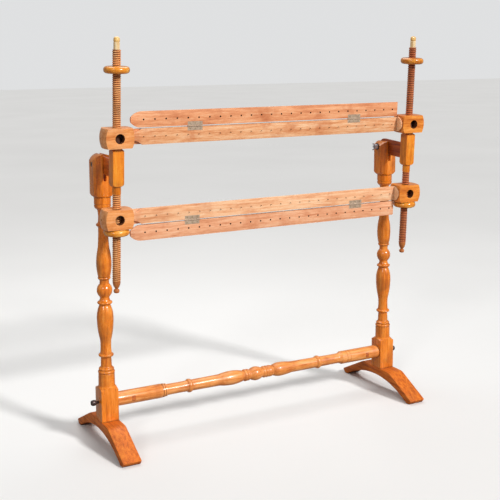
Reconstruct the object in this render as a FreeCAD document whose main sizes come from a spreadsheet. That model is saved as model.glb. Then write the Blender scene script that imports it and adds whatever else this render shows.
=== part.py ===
import FreeCAD, Part
import math
import os
import re
import Sketcher

V = FreeCAD.Vector

doc = FreeCAD.newDocument("scroll_frame")
sheet = doc.addObject("Spreadsheet::Sheet", "Sizes")

# Millimetres, and degrees for the angles.
sizes = {
    # Stand: two turned posts on arched feet, held apart by a turned stretcher.
    "post_spacing": "1108",
    "foot_height": "82",
    "foot_width": "62",
    "foot_length": "436",
    "foot_flat": "168",
    "foot_ease": "11",
    "toe_height": "14",
    "toe_slope": "11",
    "toe_bearing": "17",
    "tenon_side": "32",
    "tenon_length": "20",
    "block_side": "58",
    "block_height": "94",
    "block_shoulder": "22",
    "turned_height": "622",
    "turned_diameter": "54",
    # Forked head of a post.
    "head_width": "69",
    "head_depth": "59",
    "head_shoulder": "21",
    "head_corner_across": "24",
    "head_corner_deep": "10",
    "head_pivot_rise": "106",
    "head_edge_rise": "11",
    "slot_width": "10",
    "slot_drop": "54",
    # Stretcher with the bolts that draw it against the posts.
    "stretcher_drop": "32",
    "stretcher_diameter": "49",
    "bed_bolt_diameter": "9",
    "knob_diameter": "19",
    "knob_length": "18",
    "knob_stand": "10",
    "bed_nut_diameter": "18",
    "bed_nut_length": "26",
    "bed_nut_reach": "56",
    "bed_nut_inset": "0.6",
    # Pivot bolt with its wing nut.
    "pivot_bolt_diameter": "10",
    "pivot_head_diameter": "15",
    "pivot_head_thickness": "5",
    "pivot_thread_length": "17",
    "washer_room": "1.5",
    "wing_hub_diameter": "18",
    "wing_hub_height": "12",
    "wing_span": "32",
    "wing_height": "20",
    "wing_thickness": "3.2",
    # Working frame: two threaded rods on tongues, leaning forward at rest.
    "lean_angle": "3.54",
    "rod_distance": "133.8",
    "rod_above": "410",
    "left_rod_below": "389",
    "right_rod_below": "375",
    "thread_diameter": "26",
    "tip_length": "39",
    "lower_tip_length": "40",
    "rod_block_side": "36",
    "rod_block_above": "60.5",
    "rod_block_below": "39",
    "rod_shoulder": "10",
    "rod_collar": "6",
    "tongue_height": "56",
    "tongue_thickness": "9.4",
    "tongue_stub_height": "38",
    "tongue_stub_length": "16",
    # Wheel nuts on the rods.
    "nut_diameter": "80",
    "nut_thickness": "22",
    "nut_rim": "6",
    "upper_left_nut_rise": "296.5",
    "upper_right_nut_rise": "313",
    # Rollers: a round bar between two square blocks, its front half a hinged flap.
    "roller_diameter": "51.5",
    "roller_block_side": "61",
    "roller_block_outer": "50",
    "roller_block_inner": "46",
    "roller_dome": "14",
    "roller_shoulder": "9",
    "rod_hole_diameter": "27.6",
    "cross_hole_diameter": "30",
    "lower_roller_drop": "150.5",
    "upper_disc_length": "7",
    "lower_disc_length": "3",
    "bullet_length": "38",
    "bullet_tip_diameter": "22",
    "bullet_relief": "8",
    # Brass butt hinges between a roller and its flap.
    "hinge_width": "52",
    "hinge_barrel_diameter": "4.8",
    "hinge_pin_diameter": "2.2",
    "hinge_stand": "0.6",
    "leaf_depth": "14",
    "leaf_thickness": "1.6",
    "upper_left_hinge_inset": "263.5",
    "upper_right_hinge_inset": "237.5",
    "lower_left_hinge_inset": "258",
    "lower_right_hinge_inset": "216",
    # Row of small pins on each roller and the holes that take them in the flap.
    "pin_count": "26",
    "pin_spacing": "37.8",
    "upper_pin_inset": "88",
    "lower_pin_inset": "95",
    "pin_side": "2.4",
    "pin_length": "6",
    "pin_set": "3",
    "pin_taper": "5",
    "pin_hole_diameter": "4",
    # Clearances.
    "fit_gap": "0.3",
    "nut_gap": "0.5",
    "running_gap": "0.08",
}

for row, (alias, text) in enumerate(sizes.items(), start=1):
    cell = f"B{row}"
    sheet.set(f"A{row}", alias)
    sheet.set(cell, text)
    sheet.setAlias(cell, alias)
doc.recompute()

# Turned outlines from the lower or left end: share of the length, share of the
# largest radius, and the share of its chord by which the stretch to here bows out.
post_shares = [
    (0, 0.97),
    (0.082, 0.97),
    (0.082, 0.64),
    (0.157, 0.64),
    (0.157, 0.91),
    (0.174, 0.91),
    (0.174, 0.69),
    (0.365, 1, 0.01),
    (0.436, 0.74, 0.03),
    (0.436, 0.9),
    (0.453, 0.9),
    (0.453, 0.57),
    (0.475, 0.57),
    (0.493, 0.92),
    (0.526, 0.92),
    (0.545, 0.58),
    (0.568, 0.58),
    (0.568, 0.76),
    (0.653, 0.91, 0.01),
    (0.846, 0.59, 0.01),
    (0.846, 0.83),
    (0.862, 0.83),
    (0.862, 0.56),
    (0.933, 0.56),
    (0.933, 0.72),
    (0.957, 1),
    (1, 1),
]
stretcher_shares = [
    (0, 0.96),
    (0.156, 0.96),
    (0.173, 0.745),
    (0.247, 0.745),
    (0.247, 0.93),
    (0.26, 0.93),
    (0.26, 0.79),
    (0.363, 0.79),
    (0.453, 0.79, 0.055),
    (0.453, 0.9),
    (0.473, 0.9),
    (0.473, 0.72),
    (0.478, 0.72),
    (0.491, 1),
    (0.509, 1),
    (0.522, 0.72),
    (0.527, 0.72),
    (0.527, 0.9),
    (0.566, 0.9),
    (0.566, 0.79),
    (0.637, 0.79, 0.07),
    (0.74, 0.79),
    (0.74, 0.93),
    (0.753, 0.93),
    (0.753, 0.745),
    (0.827, 0.745),
    (0.844, 0.96),
    (1, 0.96),
]
tip_shares = [
    (0, 0.73),
    (0.6, 0.73),
    (0.6, 0.67),
    (1, 0.67),
]
lower_tip_shares = [
    (0, 0.52),
    (0.08, 0.68),
    (0.3, 0.68),
    (0.4, 0.38),
    (0.98, 0.86),
    (1, 1),
]
# Wing nut seen from its side: shares of half the span and of the height.
wing_shares = [
    (-0.4, 0.15),
    (0.4, 0.15),
    (0.92, 0.55),
    (1, 0.82),
    (0.86, 1),
    (0.66, 0.86),
    (0.3, 0.5),
    (-0.3, 0.5),
    (-0.66, 0.86),
    (-0.86, 1),
    (-1, 0.82),
    (-0.92, 0.55),
]
foot_ease_share = 0.059
arch_share = 0.142
quarter_arc_share = 0.2071
head_dome_share = 0.3
shoulder_root_share = 0.72
dome_rim_share = 0.75
dome_flat_share = 0.2
ogive_share = 0.1
rod_upper_share = 0.96
rod_lower_share = 0.9
knuckle_tab_share = 0.62
knuckle_count = 5
rim_sides = 36
bore_sides = 24
nut_sides = 12
bolt_sides = 8
knuckle_sides = 8
knuckle_flat_share = math.cos(math.pi / knuckle_sides)
pin_hole_sides = 6

# Heights and places that follow from the sizes above.
turned_foot = "(block_height + block_shoulder)"
head_foot = f"({turned_foot} + turned_height)"
pivot_rise = f"({head_foot} + head_pivot_rise)"
pivot_height = f"(foot_height + {pivot_rise})"
stretcher_height = "(foot_height + block_height - stretcher_drop)"
stretcher_length = "(post_spacing - block_side)"
post_place = {"left": "(-post_spacing / 2)", "right": "(post_spacing / 2)"}
rod_top_of_block = "(rod_block_above + rod_shoulder)"
roller_length = "(post_spacing + 2 * roller_block_outer)"
roller_start = f"(-{roller_length} / 2)"
upper_roller_rise = f"({rod_top_of_block} + fit_gap + roller_block_side / 2)"
bar_start = "(roller_block_outer + roller_block_inner)"
bar_end = f"({roller_length} - {bar_start})"
hinge_reach = "(roller_diameter / 2 + hinge_stand)"

word = re.compile(r"[a-z_]+")
pieces = []
first_point, last_point, centre_point = 1, 2, 3
same_place = 1e-6


def formula(text):
    return word.sub(lambda found: "Sizes." + found[0] if found[0] in sizes else found[0], text)


def measure(text):
    return float(sheet.evalExpression(formula(text)))


def new_piece(label, place):
    body = doc.addObject("PartDesign::Body", label)
    body.setExpression("Placement", formula(place))
    pieces.append(body)
    return body


def new_sketch(body, role, name, offset=""):
    sketch = body.newObject("Sketcher::SketchObject", name)
    plane = next(item for item in body.Origin.OriginFeatures if item.Role == role)
    sketch.AttachmentSupport = [(plane, "")]
    sketch.MapMode = "FlatFace"
    if offset:
        sketch.setExpression(".AttachmentOffset.Base.z", formula(offset))
    return sketch


# The two ways of holding a point at its distance across or up from the origin.
def hold_point(edge, end, kind, text):
    if text == "0":
        axis = -2 if kind == "DistanceX" else -1
        return Sketcher.Constraint("PointOnObject", edge, end, axis)
    return Sketcher.Constraint(kind, -1, first_point, edge, end, measure(text))


# A closed outline. Each corner is (across, up) or (across, up, bow), where the bow
# is the share of the chord by which the edge to this corner bows to its right.
def draw_outline(sketch, corners):
    places = [V(measure(corner[0]), measure(corner[1]), 0) for corner in corners]
    bows = [corner[2] if len(corner) > 2 else 0 for corner in corners]
    edges = []
    for index, place in enumerate(places):
        last = places[index - 1]
        if bows[index]:
            side = V(place.y - last.y, last.x - place.x, 0)
            edges.append(Part.Arc(last, (last + place) * 0.5 + side * bows[index], place))
        else:
            edges.append(Part.LineSegment(last, place))
    edge_ids = sketch.addGeometry(edges, False)
    starts = [first_point if (sketch.getPoint(edge_id, first_point) - places[index - 1]).Length < same_place
              else last_point for index, edge_id in enumerate(edge_ids)]
    held = []
    for index, edge_id in enumerate(edge_ids):
        following = (index + 1) % len(edge_ids)
        finish = last_point if starts[index] == first_point else first_point
        across, up = corners[index][0], corners[index][1]
        joined = Sketcher.Constraint("Coincident", edge_id, finish, edge_ids[following], starts[following])
        held.append((joined, "0"))
        held.append((hold_point(edge_id, finish, "DistanceX", across), across))
        held.append((hold_point(edge_id, finish, "DistanceY", up), up))
        if bows[index]:
            last_across, last_up = corners[index - 1][0], corners[index - 1][1]
            chord = f"sqrt((({across}) - ({last_across})) ^ 2 + (({up}) - ({last_up})) ^ 2)"
            bow = abs(bows[index])
            radius = f"{chord} * {1 / (8 * bow) + bow / 2:.8f}"
            held.append((Sketcher.Constraint("Radius", edge_id, measure(radius)), radius))
    bind(sketch, held)


def draw_circle(sketch, across, up, diameter):
    centre = V(measure(across), measure(up), 0)
    radius = f"({diameter}) / 2"
    edge_id = sketch.addGeometry(Part.Circle(centre, V(0, 0, 1), measure(radius)), False)
    held = [
        (hold_point(edge_id, centre_point, "DistanceX", across), across),
        (hold_point(edge_id, centre_point, "DistanceY", up), up),
        (Sketcher.Constraint("Radius", edge_id, measure(radius)), radius),
    ]
    bind(sketch, held)


# A many-sided outline in place of a circle where small holes and bars repeat.
def draw_many_sided(sketch, across, up, diameter, sides):
    corners = []
    for index in range(sides):
        angle = 2 * math.pi * (index + 0.5) / sides
        along = [f"({diameter}) / 2 * {part:.6f}" for part in (math.cos(angle), math.sin(angle))]
        corners.append((f"{across} + {along[0]}", f"{up} + {along[1]}"))
    draw_outline(sketch, corners)


def bind(sketch, held):
    first = sketch.ConstraintCount
    sketch.addConstraint([constraint for constraint, text in held])
    for index, (constraint, text) in enumerate(held):
        if text != "0":
            sketch.setExpression(f"Constraints[{first + index}]", formula(text))


def draw_box(sketch, left, right, low, high):
    draw_outline(sketch, [(left, low), (right, low), (right, high), (left, high)])


def pad(body, sketch, length, middle=False, back=False, taper=""):
    feature = body.newObject("PartDesign::Pad", sketch.Name + "_pad")
    feature.Profile = sketch
    feature.setExpression("Length", formula(length))
    feature.Midplane = middle
    feature.Reversed = back
    if taper:
        feature.setExpression("TaperAngle", formula(taper))
    return feature


def pocket(body, sketch, length="", middle=False, back=False):
    feature = body.newObject("PartDesign::Pocket", sketch.Name + "_pocket")
    feature.Profile = sketch
    if length:
        feature.setExpression("Length", formula(length))
    else:
        feature.Type = "ThroughAll"
    feature.Midplane = middle
    feature.Reversed = back
    return feature


def turn(body, sketch, axis="V_Axis", kind="Revolution"):
    feature = body.newObject("PartDesign::" + kind, sketch.Name + "_turned")
    feature.Profile = sketch
    feature.ReferenceAxis = (sketch, [axis])
    feature.Angle = 360
    return feature


def repeat(body, feature, sketch, pitch, count):
    pattern = body.newObject("PartDesign::LinearPattern", sketch.Name + "_row")
    pattern.Originals = [feature]
    pattern.Direction = (sketch, ["V_Axis"])
    pattern.setExpression("Length", formula(f"{pitch} * ({count} - 1)"))
    pattern.setExpression("Occurrences", formula(count))
    body.Tip = pattern
    return pattern


# Corners of a turned outline: up the side from start, then closed along the axis.
def turned_corners(shares, start, length, diameter):
    corners = [("0", start)]
    for share in shares:
        up = start if share[0] == 0 else f"{start} + {length} * {share[0]}"
        corners.append((f"{diameter} / 2 * {share[1]}", up) + tuple(share[2:]))
    corners.append(("0", f"{start} + {length}"))
    return corners


def turned_piece(body, name, shares, start, length, diameter):
    sketch = new_sketch(body, "XZ_Plane", name)
    draw_outline(sketch, turned_corners(shares, start, length, diameter))
    return turn(body, sketch)


# A square end turned down to a round one of the given diameter at the height of
# its tip, so that each flat ends in a curved tongue.
def turn_shoulder(body, name, diameter, tip, root, side, collar=""):
    sketch = new_sketch(body, "XZ_Plane", name)
    corners = [(f"{diameter} / 2", tip), (f"{side} * {shoulder_root_share}", root), (side, root), (side, tip)]
    if collar:
        corners.insert(1, (f"{diameter} / 2", collar))
    draw_outline(sketch, corners)
    return turn(body, sketch, kind="Groove")


def stand_place(across, deep, up, turned=""):
    spin = turned or "rotationx(0)"
    return f"placement(vector({across}; {deep}; {up}); {spin})"


def frame_place(across, deep, up, turned=""):
    lean = f"placement(vector(0; 0; {pivot_height}); rotationx(lean_angle))"
    return f"{lean} * " + stand_place(across, deep, up, turned)


# Stand.
def make_foot(side):
    body = new_piece(f"foot_{side}", stand_place(post_place[side], "0", "0"))
    profile = new_sketch(body, "YZ_Plane", f"foot_profile_{side}")
    run = "(foot_length / 2 - foot_flat / 2)"
    sole = "(foot_length / 2 - toe_slope)"
    drop = "(foot_height - toe_height)"
    slope = f"sqrt({run} ^ 2 + {drop} ^ 2)"
    ease_out = f"foot_flat / 2 + foot_ease * {run} / {slope}"
    ease_low = f"foot_height - foot_ease * {drop} / {slope}"
    corners = [
        (f"-{sole}", "0"),
        (f"-({sole} - toe_bearing)", "0"),
        (f"{sole} - toe_bearing", "0", -arch_share),
        (sole, "0"),
        ("foot_length / 2", "toe_height"),
        (ease_out, ease_low),
        ("foot_flat / 2 - foot_ease", "foot_height", foot_ease_share),
        ("-(foot_flat / 2 - foot_ease)", "foot_height"),
        (f"-({ease_out})", ease_low, foot_ease_share),
        ("-foot_length / 2", "toe_height"),
    ]
    draw_outline(profile, corners)
    pad(body, profile, "foot_width", middle=True)
    socket = new_sketch(body, "XY_Plane", f"foot_socket_{side}", "foot_height")
    half = "(tenon_side / 2 + running_gap)"
    draw_box(socket, f"-{half}", half, f"-{half}", half)
    pocket(body, socket, "tenon_length + fit_gap")


def make_post(side):
    body = new_piece(f"post_{side}", stand_place(post_place[side], "0", "foot_height"))
    head_edge = f"({pivot_rise} + head_edge_rise)"
    front = new_sketch(body, "XZ_Plane", f"head_front_{side}")
    corners = [
        ("-head_width / 2", head_foot),
        ("head_width / 2", head_foot),
        ("head_width / 2", head_edge),
        ("-head_width / 2", head_edge, head_dome_share),
    ]
    draw_outline(front, corners)
    pad(body, front, "head_depth", middle=True)
    corner = new_sketch(body, "XY_Plane", f"head_corners_{side}")
    for across in ("", "-"):
        for deep in ("", "-"):
            near = f"{across}(head_width / 2 - head_corner_across)"
            far = f"{across}head_width / 2"
            outer = f"{deep}head_depth / 2"
            inner = f"{deep}(head_depth / 2 - head_corner_deep)"
            draw_outline(corner, [(near, outer), (far, outer), (far, inner)])
    pocket(body, corner, middle=True)
    turned_piece(body, f"post_turning_{side}", post_shares, turned_foot, "turned_height", "turned_diameter")
    base = new_sketch(body, "XY_Plane", f"post_block_{side}")
    draw_box(base, "-block_side / 2", "block_side / 2", "-block_side / 2", "block_side / 2")
    pad(body, base, turned_foot)
    turn_shoulder(body, f"block_tongue_{side}", "turned_diameter", turned_foot, "block_height", "block_side")
    turn_shoulder(body, f"head_bowl_{side}", "turned_diameter", head_foot,
                  f"({head_foot} + head_shoulder)", "head_width")
    slot = new_sketch(body, "XZ_Plane", f"fork_slot_{side}")
    draw_box(slot, "-slot_width / 2", "slot_width / 2", f"{pivot_rise} - slot_drop",
             f"{head_edge} + head_width")
    pocket(body, slot, middle=True)
    bores = new_sketch(body, "YZ_Plane", f"post_bores_{side}")
    draw_circle(bores, "0", pivot_rise, "pivot_bolt_diameter + 2 * running_gap")
    draw_many_sided(bores, "0", "block_height - stretcher_drop", "bed_bolt_diameter + 2 * fit_gap",
                    bolt_sides)
    pocket(body, bores, middle=True)
    depth = f"{'-' if side == 'left' else ''}(head_width / 2 - pivot_head_thickness)"
    sunk = new_sketch(body, "YZ_Plane", f"bolt_seat_{side}", depth)
    draw_circle(sunk, "0", pivot_rise, "pivot_head_diameter + 2 * fit_gap")
    pocket(body, sunk, "pivot_head_thickness + fit_gap", back=side == "right")
    tenon = new_sketch(body, "XY_Plane", f"post_tenon_{side}")
    draw_box(tenon, "-tenon_side / 2", "tenon_side / 2", "-tenon_side / 2", "tenon_side / 2")
    pad(body, tenon, "tenon_length", back=True)


def make_stretcher():
    place = stand_place(f"-{stretcher_length} / 2", "0", stretcher_height, "rotationy(90)")
    body = new_piece("stretcher", place)
    turned_piece(body, "stretcher_turning", stretcher_shares, "0", stretcher_length, "stretcher_diameter")
    reach = "(bed_nut_reach + bed_nut_diameter)"
    for name, offset, inward in (("left", "", True), ("right", stretcher_length, False)):
        bore = new_sketch(body, "XY_Plane", f"stretcher_bore_{name}", offset)
        draw_many_sided(bore, "0", "0", "bed_bolt_diameter + 2 * fit_gap", bolt_sides)
        pocket(body, bore, reach, back=inward)
    for name, length, front in (("front", "stretcher_diameter", True), ("rear", "bed_nut_length / 2", False)):
        seats = new_sketch(body, "XZ_Plane", f"nut_seats_{name}")
        for up in ("bed_nut_reach", f"{stretcher_length} - bed_nut_reach"):
            draw_many_sided(seats, "0", up, "bed_nut_diameter + 2 * running_gap", nut_sides)
        pocket(body, seats, length, back=front)


# The bolt's shank ends in a round bar nut, whose front end shows in the stretcher.
def make_bed_bolt(side):
    spin = "rotationy(90)" if side == "left" else "rotationy(-90)"
    out = "(block_side / 2 + knob_stand + knob_length)"
    across = f"-(post_spacing / 2 + {out})" if side == "left" else f"post_spacing / 2 + {out}"
    bolt = new_piece(f"bed_bolt_{side}", stand_place(across, "0", stretcher_height, spin))
    knob = new_sketch(bolt, "XY_Plane", f"knob_{side}")
    draw_circle(knob, "0", "0", "knob_diameter")
    pad(bolt, knob, "knob_length")
    shank = new_sketch(bolt, "XY_Plane", f"bed_shank_{side}", "knob_length")
    draw_many_sided(shank, "0", "0", "bed_bolt_diameter", bolt_sides)
    pad(bolt, shank, "knob_stand + block_side + bed_nut_reach + bed_nut_diameter / 2")
    sign = "-" if side == "left" else ""
    across = f"{sign}({stretcher_length} / 2 - bed_nut_reach)"
    nut = new_piece(f"bed_nut_{side}", stand_place(across, "0", stretcher_height, "rotationx(90)"))
    round_bar = new_sketch(nut, "XY_Plane", f"bed_nut_round_{side}", "-(bed_nut_length / 2 - fit_gap)")
    draw_many_sided(round_bar, "0", "0", "bed_nut_diameter", nut_sides)
    front = f"stretcher_diameter / 2 * {stretcher_shares[0][1]} - bed_nut_inset"
    pad(nut, round_bar, f"{front} + bed_nut_length / 2 - fit_gap")
    tapped = new_sketch(nut, "YZ_Plane", f"bed_nut_bore_{side}")
    draw_many_sided(tapped, "0", "0", "bed_bolt_diameter + 2 * running_gap", bolt_sides)
    pocket(nut, tapped, middle=True)


def make_pivot(side):
    spin = "rotationy(90)" if side == "left" else "rotationy(-90)"
    place = stand_place(post_place[side], "0", pivot_height, spin)
    bolt = new_piece(f"pivot_bolt_{side}", place)
    cap = new_sketch(bolt, "XZ_Plane", f"pivot_cap_{side}")
    seat = "(head_width / 2)"
    sunk = f"({seat} - pivot_head_thickness)"
    tail = f"({seat} + washer_room + pivot_thread_length)"
    corners = [
        ("0", f"-{seat}"),
        ("pivot_head_diameter / 2", f"-{seat}"),
        ("pivot_head_diameter / 2", f"-{sunk}"),
        ("pivot_bolt_diameter / 2", f"-{sunk}"),
        ("pivot_bolt_diameter / 2", tail),
        ("0", tail),
    ]
    draw_outline(cap, corners)
    turn(bolt, cap)
    across = f"{post_place[side]} + {'' if side == 'left' else '-'}({seat} + washer_room)"
    nut = new_piece(f"wing_nut_{side}", stand_place(across, "0", pivot_height, spin))
    hub = new_sketch(nut, "XY_Plane", f"wing_hub_{side}")
    draw_circle(hub, "0", "0", "wing_hub_diameter")
    pad(nut, hub, "wing_hub_height")
    ears = new_sketch(nut, "XZ_Plane", f"wing_ears_{side}")
    corners = [(f"wing_span / 2 * {share[0]}", f"wing_height * {share[1]}") for share in wing_shares]
    draw_outline(ears, corners)
    pad(nut, ears, "wing_thickness", middle=True)
    tapped = new_sketch(nut, "XY_Plane", f"wing_bore_{side}")
    draw_circle(tapped, "0", "0", "pivot_bolt_diameter + 2 * running_gap")
    pocket(nut, tapped, middle=True)


# Working frame.
def make_rod(side):
    body = new_piece(f"rod_{side}", frame_place(post_place[side], "-rod_distance", "0"))
    turning = new_sketch(body, "XZ_Plane", f"rod_turning_{side}")
    thread = "thread_diameter / 2"
    tip_start = "(rod_above - tip_length)"
    start = f"-{side}_rod_below"
    corners = turned_corners(lower_tip_shares, start, "lower_tip_length", "thread_diameter")[:-1]
    corners += [(thread, tip_start)]
    corners += turned_corners(tip_shares, tip_start, "tip_length", "thread_diameter")[1:]
    draw_outline(turning, corners)
    turn(body, turning)
    block = new_sketch(body, "XY_Plane", f"rod_block_{side}", "-(rod_block_below + rod_shoulder)")
    draw_box(block, "-rod_block_side / 2", "rod_block_side / 2", "-rod_block_side / 2", "rod_block_side / 2")
    pad(body, block, "rod_block_below + rod_block_above + 2 * rod_shoulder")
    turn_shoulder(body, f"rod_tongue_upper_{side}", f"rod_block_side * {rod_upper_share}", rod_top_of_block,
                  "rod_block_above", "rod_block_side", f"{rod_top_of_block} - rod_collar")
    turn_shoulder(body, f"rod_tongue_lower_{side}", f"rod_block_side * {rod_lower_share}",
                  "-(rod_block_below + rod_shoulder)", "-rod_block_below", "rod_block_side")
    mortise = new_sketch(body, "XZ_Plane", f"rod_mortise_{side}")
    draw_box(mortise, "-(tongue_thickness / 2 + running_gap)", "tongue_thickness / 2 + running_gap",
             "-(tongue_stub_height / 2 + running_gap)", "tongue_stub_height / 2 + running_gap")
    pocket(body, mortise, "rod_block_side")


def make_tongue(side):
    body = new_piece(f"tongue_{side}", frame_place(post_place[side], "0", "0"))
    board = new_sketch(body, "YZ_Plane", f"tongue_board_{side}")
    face = "-(rod_distance - rod_block_side / 2)"
    stub = "-(rod_distance - rod_block_side / 2 + tongue_stub_length)"
    half = "tongue_height / 2"
    stub_half = "tongue_stub_height / 2"
    corners = [
        (stub, f"-{stub_half}"),
        (face, f"-{stub_half}"),
        (face, f"-{half}"),
        ("0", f"-{half}"),
        (half, "0", quarter_arc_share),
        ("0", half, quarter_arc_share),
        (face, half),
        (face, stub_half),
        (stub, stub_half),
    ]
    draw_outline(board, corners)
    pad(body, board, "tongue_thickness", middle=True)
    eye = new_sketch(body, "YZ_Plane", f"tongue_eye_{side}")
    draw_circle(eye, "0", "0", "pivot_bolt_diameter + 2 * running_gap")
    pocket(body, eye, middle=True)


def make_nut(label, side, rise):
    body = new_piece(label, frame_place(post_place[side], "-rod_distance", rise))
    rim = new_sketch(body, "XY_Plane", f"{label}_rim")
    draw_many_sided(rim, "0", "0", "nut_diameter", rim_sides)
    wheel = pad(body, rim, "nut_thickness")
    eased = body.newObject("PartDesign::Chamfer", f"{label}_eased_rim")
    eased.Base = (wheel, [f"Face{rim_sides + 1}", f"Face{rim_sides + 2}"])
    eased.setExpression("Size", formula("nut_rim"))
    bore = new_sketch(body, "XY_Plane", f"{label}_bore")
    draw_many_sided(bore, "0", "0", "thread_diameter + 2 * nut_gap", bore_sides)
    pocket(body, bore, middle=True)


# Rollers lie along X: in their own frame Z runs along the bar from its left end and
# X points down the rods. The far sign is "-" where the hinge edge is above.
def roller_place(rise):
    return frame_place(roller_start, "-rod_distance", rise, "rotationy(90)")


def hinge_seats(body, name, sign, insets):
    for kind, reach, depth in (
        ("leaf", "leaf_depth + fit_gap", "leaf_thickness + fit_gap"),
        ("barrel", "hinge_barrel_diameter / 2 + fit_gap", "hinge_barrel_diameter / 2 + fit_gap"),
    ):
        seats = new_sketch(body, "XZ_Plane", f"{name}_{kind}_seats")
        for inset in insets:
            near = f"{sign}({hinge_reach} - ({reach}))"
            far = f"{sign}({hinge_reach} + fit_gap)"
            left, right = (near, far) if sign == "" else (far, near)
            draw_box(seats, left, right, f"{inset} - hinge_width / 2 - running_gap",
                     f"{inset} + hinge_width / 2 + running_gap")
        pocket(body, seats, f"{depth} + fit_gap / 2")


def hinge_places(level):
    return [f"({bar_start} + {level}_left_hinge_inset - roller_block_inner)",
            f"({bar_end} - {level}_right_hinge_inset + roller_block_inner)"]


def make_roller(level, rise, sign):
    body = new_piece(f"{level}_roller", roller_place(rise))
    for side, start in (("left", ""), ("right", bar_end)):
        block = new_sketch(body, "XY_Plane", f"{level}_block_{side}", start)
        draw_box(block, "-roller_block_side / 2", "roller_block_side / 2",
                 "-roller_block_side / 2", "roller_block_side / 2")
        pad(body, block, bar_start)
    for side, apex, rim, past in (
        ("left", "0", "roller_dome", "-fit_gap"),
        ("right", roller_length, f"{roller_length} - roller_dome", f"{roller_length} + fit_gap"),
    ):
        dome = new_sketch(body, "XZ_Plane", f"{level}_dome_{side}")
        flat = f"roller_block_side * {dome_flat_share}"
        reach = f"roller_block_side * {dome_rim_share}"
        corners = [("0", past), ("0", apex), (flat, apex), (reach, rim), (reach, past)]
        draw_outline(dome, corners)
        turn(body, dome, kind="Groove")
    turn_shoulder(body, f"{level}_shoulder_left", "roller_diameter", bar_start,
                  f"{bar_start} - roller_shoulder", "roller_block_side")
    turn_shoulder(body, f"{level}_shoulder_right", "roller_diameter", bar_end,
                  f"{bar_end} + roller_shoulder", "roller_block_side")
    bar = new_sketch(body, "XY_Plane", f"{level}_bar", bar_start)
    draw_circle(bar, "0", "0", "roller_diameter")
    pad(body, bar, f"{bar_end} - {bar_start}")
    recess = new_sketch(body, "XZ_Plane", f"{level}_recess", "-fit_gap / 2")
    draw_box(recess, "-roller_block_side / 2", "roller_block_side / 2", bar_start,
             f"{bar_end} - {level}_disc_length")
    pocket(body, recess, "roller_diameter", back=True)
    relief = new_sketch(body, "XZ_Plane", f"{level}_relief")
    for edge in ("", "-"):
        near = f"{edge}bullet_tip_diameter / 2"
        far = f"{edge}roller_diameter / 2"
        bow = ogive_share if edge else -ogive_share
        corners = [(far, bar_start), (near, bar_start), (far, f"{bar_start} + bullet_length", bow)]
        draw_outline(relief, corners)
    pocket(body, relief, "bullet_relief")
    centres = ["roller_block_outer", f"{roller_length} - roller_block_outer"]
    for name, role, diameter in (
        ("rod", "YZ_Plane", "rod_hole_diameter"),
        ("cross", "XZ_Plane", "cross_hole_diameter"),
    ):
        holes = new_sketch(body, role, f"{level}_{name}_holes")
        for centre in centres:
            draw_circle(holes, "0", centre, diameter)
        pocket(body, holes, middle=True)
    hinge_seats(body, f"{level}_roller", sign, hinge_places(level))
    pins = new_piece(f"{level}_pins", roller_place(rise))
    pins.AllowCompound = True
    point = new_sketch(pins, "XZ_Plane", f"{level}_pin", "-pin_set")
    draw_box(point, "-pin_side / 2", "pin_side / 2", f"{level}_pin_inset + roller_block_outer - pin_side / 2",
             f"{level}_pin_inset + roller_block_outer + pin_side / 2")
    first = pad(pins, point, "pin_length + pin_set", taper="-pin_taper")
    repeat(pins, first, point, "pin_spacing", "pin_count")


def make_flap(level, rise, sign):
    body = new_piece(f"{level}_flap", roller_place(rise))
    start = f"({bar_start} + fit_gap)"
    end = f"({bar_end} - {level}_disc_length - fit_gap)"
    profile = new_sketch(body, "XZ_Plane", f"{level}_flap_half")
    corners = [
        ("0", start),
        ("bullet_tip_diameter / 2", start),
        ("roller_diameter / 2", f"{bar_start} + bullet_length", ogive_share),
        ("roller_diameter / 2", end),
        ("0", end),
    ]
    draw_outline(profile, corners)
    turn(body, profile)
    flat = new_sketch(body, "XZ_Plane", f"{level}_flap_flat", "-fit_gap / 2")
    draw_box(flat, "-roller_diameter", "roller_diameter", f"{start} - fit_gap", f"{end} + fit_gap")
    pocket(body, flat, "roller_diameter", back=True)
    hinge_seats(body, f"{level}_flap", sign, hinge_places(level))
    hole = new_sketch(body, "XZ_Plane", f"{level}_pin_hole")
    centre = f"{level}_pin_inset + roller_block_outer"
    draw_many_sided(hole, "0", centre, "pin_hole_diameter", pin_hole_sides)
    first = pocket(body, hole, "pin_length + 2 * fit_gap")
    repeat(body, first, hole, "pin_spacing", "pin_count")


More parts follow.
